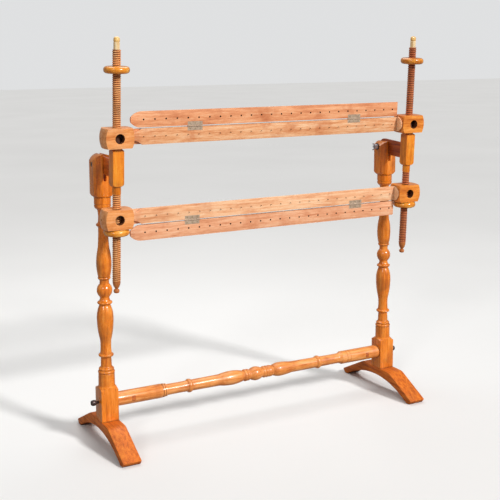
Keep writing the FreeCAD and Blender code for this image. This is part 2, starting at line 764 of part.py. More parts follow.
# One leaf of a butt hinge: a comb of knuckles on a thin plate.
def make_leaf(label, place, sign, knuckles):
    body = new_piece(label, place)
    plate = new_sketch(body, "XZ_Plane", f"{label}_plate", "-fit_gap / 2")
    edge = f"{sign}(hinge_barrel_diameter / 2 + fit_gap)"
    tab = f"{sign}(hinge_barrel_diameter / 2 * {knuckle_tab_share})"
    deep = f"{sign}leaf_depth"
    half = "hinge_width / 2"
    last = knuckle_count - 1
    row = [(f"-{half}", deep), (half, deep), (half, edge)]
    barrels = []
    for index in reversed(knuckles):
        share = f"hinge_width / {knuckle_count}"
        low = f"-{half}" if index == 0 else f"-{half} + {share} * {index} + fit_gap / 2"
        high = half if index == last else f"-{half} + {share} * {index + 1} - fit_gap / 2"
        barrels.append((index, low, high))
        if index == last:
            row[-1] = (half, tab)
        else:
            row += [(high, edge), (high, tab)]
        row += [(low, tab)]
        if index:
            row += [(low, edge)]
    if knuckles[0]:
        row += [(f"-{half}", edge)]
    draw_outline(plate, row)
    pad(body, plate, "leaf_thickness", back=True)
    for index, low, high in barrels:
        barrel = new_sketch(body, "YZ_Plane", f"{label}_barrel_{index}", low)
        draw_many_sided(barrel, "0", "0", "hinge_barrel_diameter", knuckle_sides)
        eye = f"(hinge_pin_diameter + 2 * running_gap) / {knuckle_flat_share:.6f}"
        draw_many_sided(barrel, "0", "0", eye, knuckle_sides)
        pad(body, barrel, f"{high} - ({low})")


def make_hinges(level, rise, sign):
    for side, place in zip(("left", "right"), hinge_places(level)):
        across = f"{roller_start} + {place}"
        up = f"{rise} + {hinge_reach}" if sign == "-" else f"{rise} - {hinge_reach}"
        spot = frame_place(across, "-rod_distance", up)
        near, far = ("-", "") if sign == "-" else ("", "-")
        make_leaf(f"{level}_hinge_roller_leaf_{side}", spot, near, [0, 2, 4])
        make_leaf(f"{level}_hinge_flap_leaf_{side}", spot, far, [1, 3])
        pin = new_piece(f"{level}_hinge_pin_{side}", spot)
        wire = new_sketch(pin, "YZ_Plane", f"{level}_hinge_wire_{side}")
        draw_circle(wire, "0", "0", "hinge_pin_diameter")
        pad(pin, wire, "hinge_width", middle=True)


lower_rise = "(-lower_roller_drop)"
two_reaches = f"2 * {hinge_reach}"
for side in ("left", "right"):
    make_foot(side)
    make_post(side)
    make_bed_bolt(side)
    make_pivot(side)
    make_rod(side)
    make_tongue(side)
    make_nut(f"upper_nut_{side}", side, f"upper_{side}_nut_rise")
    make_nut(f"lower_nut_{side}", side, f"{lower_rise} - roller_block_side / 2 - fit_gap - nut_thickness")
make_stretcher()
make_roller("upper", upper_roller_rise, "-")
make_flap("upper", f"{upper_roller_rise} + {two_reaches}", "")
make_hinges("upper", upper_roller_rise, "-")
make_roller("lower", lower_rise, "")
make_flap("lower", f"{lower_rise} - {two_reaches}", "-")
make_hinges("lower", lower_rise, "")
doc.recompute()

# Every object has to be sound, and every cut has to take wood away.
faults = []
for item in doc.Objects:
    if "Invalid" in item.State or "Error" in item.State:
        faults.append(f"{item.Name}: {item.State}")
    elif item.TypeId in ("PartDesign::Pocket", "PartDesign::Groove"):
        if item.Shape.Volume > item.BaseFeature.Shape.Volume * (1 - 1e-9):
            faults.append(f"{item.Name}: cuts nothing")
for piece in pieces:
    if piece.Shape.isNull() or not piece.Shape.isValid():
        faults.append(f"{piece.Label}: bad shape")
if faults:
    raise RuntimeError("; ".join(faults))

os.makedirs("parts", exist_ok=True)
for piece in pieces:
    piece.Shape.exportStep(f"parts/{piece.Label}.step")
print(len(pieces), "pieces written")
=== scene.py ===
import math
import bpy
from mathutils import Matrix, Vector


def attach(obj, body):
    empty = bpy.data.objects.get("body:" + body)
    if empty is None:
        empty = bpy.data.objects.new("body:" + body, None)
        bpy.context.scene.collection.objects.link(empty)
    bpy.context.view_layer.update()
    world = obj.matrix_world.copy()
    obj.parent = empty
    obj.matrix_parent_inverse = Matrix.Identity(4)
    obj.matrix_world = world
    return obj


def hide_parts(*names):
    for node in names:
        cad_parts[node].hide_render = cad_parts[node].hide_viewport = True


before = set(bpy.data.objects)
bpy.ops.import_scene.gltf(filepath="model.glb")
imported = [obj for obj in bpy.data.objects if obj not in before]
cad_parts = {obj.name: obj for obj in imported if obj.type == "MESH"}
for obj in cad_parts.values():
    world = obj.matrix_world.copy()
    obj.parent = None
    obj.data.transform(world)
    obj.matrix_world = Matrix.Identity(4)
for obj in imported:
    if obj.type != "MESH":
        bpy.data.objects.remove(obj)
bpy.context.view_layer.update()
print("frame loaded:", len(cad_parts), "nodes")

mm = 0.001
sides = ("left", "right")
levels = ("upper", "lower")

# Where the two posts, the rods and the rollers stand, in millimetres.
layout = {
    "postX": 554,
    "footTop": 82,
    "stretcherZ": 144,
    "pivotZ": 926,
    "lean": 3.54,           # degrees, the top of the working frame comes forward
    "rodInFront": 133.8,
    "upperRise": 101.3,     # roller axes along the rods, from the pivot
    "lowerRise": -150.5,
    "barRadius": 25.75,
    "barHalf": 508,         # half the length between the inner ends of the blocks
    "upperDisc": 7,         # full round left at the right end of each split bar
    "lowerDisc": 3,
}

leanMatrix = (Matrix.Translation((0, 0, layout["pivotZ"] * mm))
              @ Matrix.Rotation(math.radians(layout["lean"]), 4, "X"))
alongX = Matrix.Rotation(math.radians(90), 4, "Y")
alongY = Matrix.Rotation(math.radians(90), 4, "X")


def postSide(side):
    return -layout["postX"] if side == "left" else layout["postX"]


def inFrame(x, rise, y=None):
    depth = -layout["rodInFront"] if y is None else y
    return leanMatrix @ Matrix.Translation(Vector((x, depth, rise)) * mm)


# ---------- mesh helpers ----------
def pickNothing():
    if bpy.context.object and bpy.context.object.mode != "OBJECT":
        bpy.ops.object.mode_set(mode="OBJECT")
    bpy.ops.object.select_all(action="DESELECT")


def pickOnly(piece):
    pickNothing()
    piece.select_set(True)
    bpy.context.view_layer.objects.active = piece


def backToObject():
    bpy.ops.object.mode_set(mode="OBJECT")


def weldAll(threshold):
    bpy.ops.mesh.select_all(action="SELECT")
    bpy.ops.mesh.remove_doubles(threshold=threshold)
    bpy.ops.mesh.select_all(action="SELECT")


def applyPlace(piece, place=None):
    if place is not None:
        piece.matrix_world = place
    pickOnly(piece)
    bpy.ops.object.transform_apply(location=True, rotation=True, scale=True)
    return piece


def applyModifiers(piece):
    pickOnly(piece)
    for modifier in list(piece.modifiers):
        bpy.ops.object.modifier_apply(modifier=modifier.name)
    return piece


# Points along a drawn outline. A corner is (across, up) or (across, up, bow), and the
# bow is the share of the chord by which the line to it curves to the right of travel.
def outlinePoints(corners, step=2.5):
    points = [Vector((corners[0][0], corners[0][1]))]
    for corner in corners[1:]:
        last = points[-1].copy()
        here = Vector((corner[0], corner[1]))
        bow = corner[2] if len(corner) > 2 else 0
        if bow:
            chord = here - last
            radius = chord.length * (1 / (8 * abs(bow)) + abs(bow) / 2)
            half = math.asin(min(1, chord.length / (2 * radius)))
            side = Vector((chord.y, -chord.x)).normalized() * (1 if bow > 0 else -1)
            centre = (last + here) / 2 - side * math.sqrt(max(0, radius ** 2 - (chord.length / 2) ** 2))
            count = max(3, min(24, int(2 * half * radius / step)) + int(half * 8))
            turn = 2 * half / count * (-1 if bow < 0 else 1)
            for index in range(1, count):
                arm = Matrix.Rotation(turn * index, 2) @ (last - centre)
                points.append(centre + arm)
        points.append(here)
    return points


# Draws the outline in the XZ plane by extruding one point from corner to corner.
def drawOutline(name, points, closed=False):
    pickNothing()
    bpy.ops.mesh.primitive_plane_add(size=0.002, location=(0, 0, 0))
    piece = bpy.context.object
    piece.name = piece.data.name = name
    bpy.ops.object.mode_set(mode="EDIT")
    bpy.ops.mesh.select_all(action="SELECT")
    bpy.ops.mesh.merge(type="CENTER")
    here = Vector((points[0].x, 0, points[0].y)) * mm
    bpy.ops.transform.translate(value=here)
    for point in points[1:]:
        following = Vector((point.x, 0, point.y)) * mm
        bpy.ops.mesh.extrude_region_move(TRANSFORM_OT_translate={"value": following - here})
        here = following
    bpy.ops.mesh.select_all(action="SELECT")
    if closed:
        weldAll(0.00001)
        bpy.ops.mesh.edge_face_add()
    return piece


# Spins an outline of (radius, height) round Z, as on the lathe.
def turnOnLathe(name, corners, steps=56):
    piece = drawOutline(name, outlinePoints(corners))
    bpy.ops.mesh.spin(steps=steps, angle=2 * math.pi, center=(0, 0, 0), axis=(0, 0, 1))
    weldAll(0.00002)
    bpy.ops.mesh.normals_make_consistent(inside=False)
    backToObject()
    return piece


# A board with this outline in XZ and its thickness along Y, centred on Y = 0.
def sawFromBoard(name, corners, thickness):
    piece = drawOutline(name, outlinePoints(corners), closed=True)
    bpy.ops.mesh.extrude_region_move(TRANSFORM_OT_translate={"value": (0, thickness * mm, 0)})
    bpy.ops.mesh.select_all(action="SELECT")
    bpy.ops.transform.translate(value=(0, -thickness * mm / 2, 0))
    bpy.ops.mesh.normals_make_consistent(inside=False)
    backToObject()
    return piece


def squareBlock(name, low, high):
    pickNothing()
    size = [(high[i] - low[i]) * mm for i in range(3)]
    middle = [(high[i] + low[i]) / 2 * mm for i in range(3)]
    bpy.ops.mesh.primitive_cube_add(size=1, location=middle, scale=size)
    piece = bpy.context.object
    piece.name = name
    return applyPlace(piece)


def drillBit(name, radius, length, place, vertices=40):
    pickNothing()
    bpy.ops.mesh.primitive_cylinder_add(vertices=vertices, radius=radius * mm, depth=length * mm)
    piece = bpy.context.object
    piece.name = name
    return applyPlace(piece, place)


def carve(piece, tool, how="DIFFERENCE"):
    cut = piece.modifiers.new("cut", "BOOLEAN")
    cut.operation = how
    cut.solver = "EXACT"
    cut.material_mode = "TRANSFER"
    cut.object = tool
    applyModifiers(piece)
    bpy.data.objects.remove(tool)
    return piece


def joinPieces(name, parts):
    pickOnly(parts[0])
    for part in parts:
        part.select_set(True)
    if len(parts) > 1:
        bpy.ops.object.join()
    joined = bpy.context.object
    joined.name = joined.data.name = name
    return joined


def easeEdges(piece, width, segments=3, angle=35):
    bevel = piece.modifiers.new("eased edges", "BEVEL")
    bevel.width = width * mm
    bevel.segments = segments
    bevel.limit_method = "ANGLE"
    bevel.angle_limit = math.radians(angle)
    return applyModifiers(piece)


# Shades the piece and sets its body and the CAD nodes that it replaces.
def finishPiece(piece, body, nodes, angle=32):
    pickOnly(piece)
    bpy.ops.object.shade_smooth_by_angle(angle=math.radians(angle))
    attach(piece, body)
    if nodes:
        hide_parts(*nodes)
    return piece


# ---------- materials ----------
def colour(hexText):
    parts = [int(hexText[i:i + 2], 16) / 255 for i in (1, 3, 5)]
    linear = [part / 12.92 if part <= 0.04045 else ((part + 0.055) / 1.055) ** 2.4 for part in parts]
    return (*linear, 1)


# Adds a node: its settings, the stops of its colour ramp, and its inputs, each a
# value or (node, output).
def addNode(tree, kind, inputs=None, stops=(), **settings):
    node = tree.nodes.new("ShaderNode" + kind)
    for key, value in settings.items():
        setattr(node, key, value)
    for index, (position, hexText) in enumerate(stops):
        if index == len(stops) - 1:
            element = node.color_ramp.elements[-1]
            element.position = position
        elif index == 0:
            element = node.color_ramp.elements[0]
            element.position = position
        else:
            element = node.color_ramp.elements.new(position)
        element.color = colour(hexText)
    for key, value in (inputs or {}).items():
        if isinstance(value, tuple) and hasattr(value[0], "outputs"):
            tree.links.new(value[0].outputs[value[1]], node.inputs[key])
        else:
            node.inputs[key].default_value = value
    return node


def newMaterial(name):
    material = bpy.data.materials.new(name)
    material.use_nodes = True
    tree = material.node_tree
    shader = tree.nodes["Principled BSDF"]
    return material, tree, shader


# Wood: year lines and soft bands run along the grain, short ray flecks lie on them,
# and old dirt and handling darken it in clouds. Sizes are millimetres.
woodLook = {
    "bandWidth": 9,
    "lineWidth": 1.6,
    "grainStretch": 14,
    "fleckWidth": 0.9,
    "fleckStretch": 5,
    "cloudSize": 70,
    "creaseReach": 7,
    "edgeReach": 1.1,
}


# The edge setting paints convex edges pale, partly as wear and partly as painted highlight; the crease setting
# paints shade into creases.
def woodMaterial(name, tones, grain, gloss=0.32, coat=0.35, bands=0.55, flecks=0.5, clouds=0.5, seed=0.0,
                 bump=0.06, cloudTone="#6b3413", creaseShadeTone="#3a1706", creaseShade=0.8, worn=0.35):
    material, tree, shader = newMaterial(name)
    place = addNode(tree, "TexCoord")
    stretch = [1 if axis != grain else 1 / woodLook["grainStretch"] for axis in "XYZ"]
    along = addNode(tree, "Mapping", {"Vector": (place, "Object"), "Scale": stretch,
                                      "Location": (seed, seed * 0.7, seed * 1.3)})
    warp = addNode(tree, "TexNoise", {"Vector": (along, "Vector"), "Scale": 12.0, "Detail": 2.0})
    bent = addNode(tree, "MixRGB", {"Fac": 0.035, "Color1": (along, "Vector"), "Color2": (warp, "Color")},
                   blend_type="ADD")
    band = addNode(tree, "TexNoise", {"Vector": (bent, "Color"), "Scale": 1 / (woodLook["bandWidth"] * mm),
                                      "Detail": 4.0, "Roughness": 0.6})
    line = addNode(tree, "TexNoise", {"Vector": (bent, "Color"), "Scale": 1 / (woodLook["lineWidth"] * mm),
                                      "Detail": 3.0, "Roughness": 0.55})
    figure = addNode(tree, "MixRGB", {"Fac": 0.35, "Color1": (band, "Fac"), "Color2": (line, "Fac")})
    spread = addNode(tree, "MapRange", {"Value": (figure, "Color"), "From Min": 0.5 - bands * 0.24,
                                        "From Max": 0.5 + bands * 0.24})
    tone = addNode(tree, "ValToRGB", {"Fac": (spread, "Result")},
                   stops=[(0.0, tones[0]), (0.5, tones[1]), (1.0, tones[2])])
    fleckStretch = [1 if axis != grain else 1 / woodLook["fleckStretch"] for axis in "XYZ"]
    fleckPlace = addNode(tree, "Mapping", {"Vector": (place, "Object"), "Scale": fleckStretch})
    fleck = addNode(tree, "TexVoronoi", {"Vector": (fleckPlace, "Vector"),
                                         "Scale": 1 / (woodLook["fleckWidth"] * 3 * mm), "Randomness": 1.0})
    fleckShare = addNode(tree, "MapRange", {"Value": (fleck, "Distance"), "From Min": 0.16, "From Max": 0.05,
                                            "To Min": 0.0, "To Max": flecks})
    flecked = addNode(tree, "MixRGB", {"Fac": (fleckShare, "Result"), "Color1": (tone, "Color"),
                                       "Color2": colour(tones[0])})
    cloud = addNode(tree, "TexNoise", {"Vector": (place, "Object"), "Scale": 1 / (woodLook["cloudSize"] * mm),
                                       "Detail": 5.0, "Roughness": 0.62})
    cloudShare = addNode(tree, "MapRange", {"Value": (cloud, "Fac"), "From Min": 0.5, "From Max": 0.72,
                                            "To Min": 0.0, "To Max": clouds})
    dirty = addNode(tree, "MixRGB", {"Fac": (cloudShare, "Result"), "Color1": (flecked, "Color"),
                                     "Color2": colour(cloudTone)})
    # edges are painted pale, partly as rubbed wear and partly as painted highlight, and painted shade darkens the
    # creases where two surfaces meet
    surface = addNode(tree, "NewGeometry")
    # painted highlight and wear: convex edges that the bevel normal finds are mixed toward the palest tone
    rounded = addNode(tree, "Bevel", {"Radius": woodLook["edgeReach"] * mm}, samples=4)
    turning = addNode(tree, "VectorMath", {0: (rounded, "Normal"), 1: (surface, "Normal")},
                      operation="DOT_PRODUCT")
    edgeShare = addNode(tree, "MapRange", {"Value": (turning, "Value"), "From Min": 0.99, "From Max": 0.86,
                                           "To Min": 0.0, "To Max": worn})
    rubbed = addNode(tree, "MixRGB", {"Fac": (edgeShare, "Result"), "Color1": (dirty, "Color"),
                                      "Color2": colour(tones[2])})
    # painted shade: where ambient occlusion finds a crease, a hole or two parts meeting, the colour is darkened
    hollow = addNode(tree, "AmbientOcclusion", {"Distance": woodLook["creaseReach"] * mm}, samples=6)
    creaseShare = addNode(tree, "MapRange", {"Value": (hollow, "AO"), "From Min": 0.8, "From Max": 0.32,
                                             "To Min": 0.0, "To Max": creaseShade})
    creaseShaded = addNode(tree, "MixRGB", {"Fac": (creaseShare, "Result"), "Color1": (rubbed, "Color"),
                                      "Color2": colour(creaseShadeTone)})
    tree.links.new(creaseShaded.outputs["Color"], shader.inputs["Base Color"])
    dull = addNode(tree, "MapRange", {"Value": (cloud, "Fac"), "From Min": 0.3, "From Max": 0.7,
                                      "To Min": gloss * 0.8, "To Max": gloss * 1.35})
    tree.links.new(dull.outputs["Result"], shader.inputs["Roughness"])
    relief = addNode(tree, "Bump", {"Height": (figure, "Color"), "Strength": bump * 4, "Distance": 0.3 * mm})
    tree.links.new(relief.outputs["Normal"], shader.inputs["Normal"])
    shader.inputs["IOR"].default_value = 1.5
    shader.inputs["Coat Weight"].default_value = coat
    shader.inputs["Coat Roughness"].default_value = 0.12
    return material


# Beech under orange shellac, rubbed up over many years: warm, even and glossy.
standTones = ("#bc5a0c", "#ec821c", "#fda548")
uprightBeech = woodMaterial("shellacked beech, grain upright", standTones, "Z", gloss=0.26, coat=0.4, bands=0.7,
                            flecks=0.25, seed=0.3, worn=0.8)
lyingBeech = woodMaterial("shellacked beech, grain along the stretcher", ("#c2601c", "#ec9446", "#f8b476"), "X",
                          gloss=0.34, coat=0.28, bands=0.7, clouds=0.7, seed=1.1, cloudTone="#b4541a")
footBeech = woodMaterial("shellacked beech, grain along the foot", ("#b0500a", "#d86c12", "#e88424"), "Y",
                         gloss=0.46, coat=0.0, flecks=0.4, clouds=0.35, seed=2.3, worn=0.6)
# The square of a rod is the yellowest piece of beech, still under thick polish.
rodBlockBeech = woodMaterial("amber shellacked beech", ("#d06c08", "#f28a14", "#fea632"), "Z", gloss=0.28,
                             seed=3.1)
# Threads have lost their polish: reddish and dull, with painted shade between the turns. The
# right rod is the redder of the two.
threadCrest = woodMaterial("waxed beech screw thread", ("#e68a44", "#ffb068", "#ffca8c"), "Z",
                           gloss=0.42, coat=0.15, seed=4.7, creaseShade=0.0, worn=0.0)
threadRootShade = woodMaterial("painted shade in the thread roots", ("#8c481c", "#b46430", "#c8783c"), "Z",
                          gloss=0.6, coat=0.0, seed=5.2)
redCrest = woodMaterial("waxed red beech screw thread", ("#b8582c", "#d87a44", "#e89660"), "Z",
                        gloss=0.42, coat=0.15, seed=4.2, creaseShade=0.0, worn=0.0)
redRootShade = woodMaterial("red painted shade in the thread roots", ("#6a2a12", "#8c4220", "#a0542c"), "Z", gloss=0.6,
                       coat=0.0, seed=5.4)
# Lower ends of the rods, where hands and floor have dulled them.
wornEnd = woodMaterial("worn beech rod end", ("#9a4c18", "#bf6c2c", "#d5823c"), "Z", gloss=0.4, seed=5.8)
# Upper ends of the rods, painted the palest wood of all.
palestTip = woodMaterial("palest beech at the rod ends", ("#e2b478", "#fad9a2", "#ffecc2"), "Z",
                       gloss=0.45, coat=0.1, clouds=0.2, seed=6.4, creaseShadeTone="#9a6a34")
# The bead is amber beech painted lighter, partly as painted highlight.
tipBead = woodMaterial("amber beech bead", ("#dea456", "#fac878", "#ffdc98"), "Z", gloss=0.35, seed=6.9)
# Nuts are turned across the grain and polished by hands: golden brown, with rims painted bright, partly as wear
# and partly as painted highlight.
nutBeech = woodMaterial("hand-polished beech nut", ("#c4680c", "#f0941e", "#ffbc58"), "X", gloss=0.22,
                        coat=0.6, flecks=0.1, clouds=0.5, seed=7.7, cloudTone="#7a380a", worn=0.7)
# Rollers and flaps: beech rubbed by cloth, pale pink below and more orange above.
clothWorn = {"bands": 0.62, "bump": 0.09, "creaseShadeTone": "#5a2812"}
barWoods = {
    "upper": woodMaterial("cloth-worn orange beech bar", ("#d07a44", "#f4b07c", "#ffd4aa"), "X", gloss=0.44,
                          coat=0.1, flecks=0.8, clouds=0.75, seed=8.2, cloudTone="#c86c36", **clothWorn),
    "lower": woodMaterial("cloth-worn pink beech bar", ("#da8a58", "#f9bc8c", "#ffd8b0"), "X", gloss=0.46,
                          coat=0.08, flecks=0.8, clouds=0.5, seed=8.8, cloudTone="#cf7846", **clothWorn),
}
flapWoods = {
    "upper": woodMaterial("cloth-worn orange beech flap", ("#c8744a", "#ee9f6c", "#fcc092"), "X", gloss=0.46,
                          coat=0.08, flecks=0.85, clouds=0.75, seed=9.4, cloudTone="#c46a36", **clothWorn),
    "lower": woodMaterial("cloth-worn pink beech flap", ("#d08056", "#f2ac80", "#fdc8a0"), "X", gloss=0.48,
                          coat=0.06, flecks=0.85, clouds=0.6, seed=9.9, cloudTone="#cc7446", **clothWorn),
}
# The left blocks are worn paler than the right ones, which keep their polish.
blockBeech = woodMaterial("half-worn orange beech block", ("#d47430", "#f8a45c", "#ffc08a"), "X", gloss=0.34,
                          coat=0.3, bands=0.7, clouds=0.6, seed=10.6, cloudTone="#c2641a", worn=0.5)
blockPolished = woodMaterial("polished orange beech block", ("#c6620c", "#f28c2a", "#fea84a"), "X", gloss=0.28,
                             coat=0.45, clouds=0.5, seed=10.9, cloudTone="#b25408", worn=0.5)
# Cut faces: the walls of holes are painted dark, as painted shade inside them, and the end face of the split bar
# is painted pale, as painted light.
boreShadePaint = woodMaterial("brown painted shade in a bored hole", ("#3a1a0a", "#5a2c12", "#7a4420"), "X", gloss=0.6,
                        coat=0.0, seed=13.9)
holeShadePaint = woodMaterial("dark painted shade in a drilled hole", ("#1c0d06", "#2a140a", "#3c1e10"), "Y", gloss=0.7,
                        coat=0.0, seed=13.4)
# The end face of the split bar is painted pale, as painted light on it.
paintedLitEnd = woodMaterial("end face of the split bar, painted pale as painted light", ("#eba877", "#ffcfa0", "#ffdcb6"), "X", gloss=0.5,
                       coat=0.0, clouds=0.2, seed=14.8, creaseShade=0.3)
# The tongues are a darker, redder wood under brown polish; the left one is painted paler, as painted light on it.
tongueWoodsLitAndShaded = {
    "left": woodMaterial("mahogany board painted light for the left tongue", ("#b04c08", "#de6412", "#f07c1e"), "Y", gloss=0.34,
                         coat=0.3, seed=11.3, cloudTone="#7a3008"),
    "right": woodMaterial("brown polished mahogany board", ("#7c2a06", "#a84808", "#be5812"), "Y", gloss=0.34,
                          coat=0.3, seed=11.6, cloudTone="#421606"),
}
# Plugs over the bar nuts, cut from darker beech.
plugWood = woodMaterial("darker beech plug", ("#a04814", "#c4642a", "#d57a3c"), "X", gloss=0.4, seed=12.2)


# Metal: base colour clouds between a clean and a tarnished tone, with fine scratches.
def metalMaterial(name, clean, tarnished, roughness, metallic, spot, bump=0.2):
    material, tree, shader = newMaterial(name)
    place = addNode(tree, "TexCoord")
    cloud = addNode(tree, "TexNoise", {"Vector": (place, "Object"), "Scale": 1 / (spot * mm), "Detail": 6.0,
                                       "Roughness": 0.65})
    tone = addNode(tree, "ValToRGB", {"Fac": (cloud, "Fac")}, stops=[(0.36, tarnished), (0.64, clean)])
    tree.links.new(tone.outputs["Color"], shader.inputs["Base Color"])
    dull = addNode(tree, "MapRange", {"Value": (cloud, "Fac"), "From Min": 0.3, "From Max": 0.7,
                                      "To Min": min(1, roughness * 1.4), "To Max": roughness * 0.8})
    tree.links.new(dull.outputs["Result"], shader.inputs["Roughness"])
    relief = addNode(tree, "Bump", {"Height": (cloud, "Fac"), "Strength": bump, "Distance": 0.2 * mm})
    tree.links.new(relief.outputs["Normal"], shader.inputs["Normal"])
    shader.inputs["Metallic"].default_value = metallic
    return material


# Rolled brass, never lacquered: olive brown tarnish over dull yellow.
hingeBrass = metalMaterial("tarnished rolled brass", "#e0c6ac", "#bda28a", 0.3, 0.4, 14, bump=0.06)
# Forged iron, black from the fire with grey rubbed edges.
darkIron = metalMaterial("fire-blackened forged iron", "#6e5c58", "#2e2222", 0.34, 0.6, 4)
# Cast iron, painted near white as painted sheen for the light that it would reflect.
wingIronPaintedBright = metalMaterial("cast iron wing nut painted bright as painted sheen", "#f0f2fa", "#c2c2cc", 0.3, 0.3, 4)
# Cut steel points, browned a little by age.
pinSteel = metalMaterial("browned cut steel pin", "#8e7f73", "#5d4a3f", 0.45, 0.8, 2)
# Turned brass screws, dull and flush with their leaves.
screwBrass = metalMaterial("dull brass screw", "#b5a27c", "#8b7a58", 0.4, 0.5, 2)
print("materials made:", len(bpy.data.materials))


def paint(piece, *materials):
    piece.data.materials.clear()
    for material in materials:
        piece.data.materials.append(material)
    return piece


# ---------- camera ----------
camera = {
    "place": (-1604.2, -2920.7, 1279.9),
    "turn": 28.52,        # degrees from +Y toward +X
    "dip": 7.24,          # degrees below the horizon
    "roll": -0.27,
    "focal": 971.91,      # pixels, in a frame 500 pixels wide
    "centre": (250.01, 174.05),
    "frame": 500,
    "sensor": 36,
    "farthest": 60,       # metres
}


def setCamera():
    lens = bpy.data.cameras.new("photo view")
    lens.sensor_fit = "HORIZONTAL"
    lens.sensor_width = camera["sensor"]
    lens.lens = camera["sensor"] * camera["focal"] / camera["frame"]
    lens.shift_x = (camera["frame"] / 2 - camera["centre"][0]) / camera["frame"]
    lens.shift_y = (camera["centre"][1] - camera["frame"] / 2) / camera["frame"]
    lens.clip_end = camera["farthest"]
    viewer = bpy.data.objects.new("photo view", lens)
    bpy.context.scene.collection.objects.link(viewer)
    turn, dip, roll = (math.radians(camera[key]) for key in ("turn", "dip", "roll"))
    forward = Vector((math.sin(turn) * math.cos(dip), math.cos(turn) * math.cos(dip), -math.sin(dip)))
    right = Vector((math.cos(turn), -math.sin(turn), 0))
    up = right.cross(forward)
    rightRolled = right * math.cos(roll) + up * math.sin(roll)
    upRolled = -right * math.sin(roll) + up * math.cos(roll)
    spin = Matrix((rightRolled, upRolled, -forward)).transposed()
    viewer.matrix_world = Matrix.Translation(Vector(camera["place"]) * mm) @ spin.to_4x4()
    bpy.context.scene.camera = viewer


setCamera()

# ---------- posts ----------
post = {
    "blockHalf": 29,
    "blockTop": 198,
    # what the lathe leaves of the lower square: (radius, height, bow)
    "blockEnvelope": [(0, 60), (46, 60), (46, 182), (41, 188), (27, 198, -0.1), (0, 198)],
    "headHalfWidth": 34.5,
    "headHalfDepth": 29.5,
    "cornerAcross": 24,
    "cornerDeep": 10,
    "headSpan": (815, 965),
    "headEdge": {"left": 937, "right": 929},       # where the crown springs from the sides
    "headBow": {"left": 0.3, "right": 0.24},
    "bowl": [(0, 818), (27, 818), (27, 820), (45, 845, 0.12), (45, 990), (0, 990)],
    "slotHalf": 5,
    "slotFloor": 872,
    "boltHole": 5.2,
    "boltSeat": 7.9,
    "boltSeatDepth": 5.1,
    "edge": 1.6,
    # (radius, height, bow) from the square to the head
    "turning": [
        (0, 190), (27, 190), (26.4, 237.6), (25, 238.6), (24.6, 239.4), (24.6, 249.2, 0.3), (23, 250),
        (23, 251.2), (23.8, 252), (23.8, 256.4, 0.28), (22, 258.4), (18, 263.5, -0.15), (16.9, 290),
        (18, 294.6, -0.15), (21.4, 295.6), (21.4, 304.4, 0.36), (19, 305.2), (18.2, 350, -0.03),
        (27, 425, 0.03), (20, 461.7, 0.047), (18.4, 469.8, -0.08), (21.6, 470.6), (21.6, 478.4, 0.36),
        (19.6, 479.2), (15.8, 494, -0.12), (15.8, 536, 0.22), (16.2, 550.7, -0.05), (18.2, 551.6),
        (18.2, 559.8, 0.32), (19.7, 561), (24.6, 604, 0.027), (19.4, 650, 0.027), (15.9, 715, -0.015),
        (17.8, 724, -0.12), (19.6, 725), (19.6, 733.8, 0.33), (16.5, 736), (17.6, 779, -0.055), (20.5, 781),
        (27, 792.6, 0.14), (27, 794), (25.3, 795.2), (25.3, 797), (27, 798.2), (27, 826), (0, 826),
    ],
}


def makePost(side):
    turned = turnOnLathe("post turning", post["turning"], 64)
    # square foot of the post: its upper corners are turned away to a tongue on each flat
    half = post["blockHalf"]
    block = squareBlock("post block", (-half, -half, layout["footTop"]), (half, half, post["blockTop"]))
    carve(block, turnOnLathe("lathe cut", post["blockEnvelope"], 64), "INTERSECT")
    # head: eight sides, a bowl turned below, a crown sawn over the fork
    wide, deep = post["headHalfWidth"], post["headHalfDepth"]
    nearX, nearY = wide - post["cornerAcross"], deep - post["cornerDeep"]
    plan = [(nearX, -deep), (wide, -nearY), (wide, nearY), (nearX, deep),
            (-nearX, deep), (-wide, nearY), (-wide, -nearY), (-nearX, -deep), (nearX, -deep)]
    low, high = post["headSpan"]
    head = sawFromBoard("post head", plan, high - low)
    applyPlace(head, Matrix.Translation((0, 0, (low + high) / 2 * mm)) @ alongY)
    edge = post["headEdge"][side]
    crown = sawFromBoard("crown saw", [(-60, 780), (60, 780), (60, edge), (wide, edge),
                                       (-wide, edge, post["headBow"][side]), (-60, edge), (-60, 780)], 90)
    carve(head, crown, "INTERSECT")
    carve(head, turnOnLathe("bowl cut", post["bowl"], 64), "INTERSECT")
    slot = post["slotHalf"]
    carve(head, squareBlock("fork saw", (-slot, -60, post["slotFloor"]), (slot, 60, 1000)))
    through = Matrix.Translation((0, 0, layout["pivotZ"] * mm)) @ alongX
    carve(head, drillBit("bolt bit", post["boltHole"], 90, through))
    outward = -1 if side == "left" else 1
    seat = Matrix.Translation((outward * wide * mm, 0, layout["pivotZ"] * mm)) @ alongX
    carve(head, drillBit("head bit", post["boltSeat"], 2 * post["boltSeatDepth"], seat))
    easeEdges(block, post["edge"])
    easeEdges(head, post["edge"], 2)
    whole = joinPieces(f"turned_post_{side}", [turned, block, head])
    applyPlace(whole, Matrix.Translation((postSide(side) * mm, 0, 0)))
    paint(whole, uprightBeech)
    return finishPiece(whole, "stand", [f"post_{side}"])


# ---------- feet ----------
foot = {
    "width": 62,
    "flat": 84,
    "reach": 218,
    "toe": 14,
    "sole": 207,
    "arch": 190,
    "archBow": -0.142,
    "topEase": 11,          # length of the eased corner on each side of it
    "edge": 2.2,
}


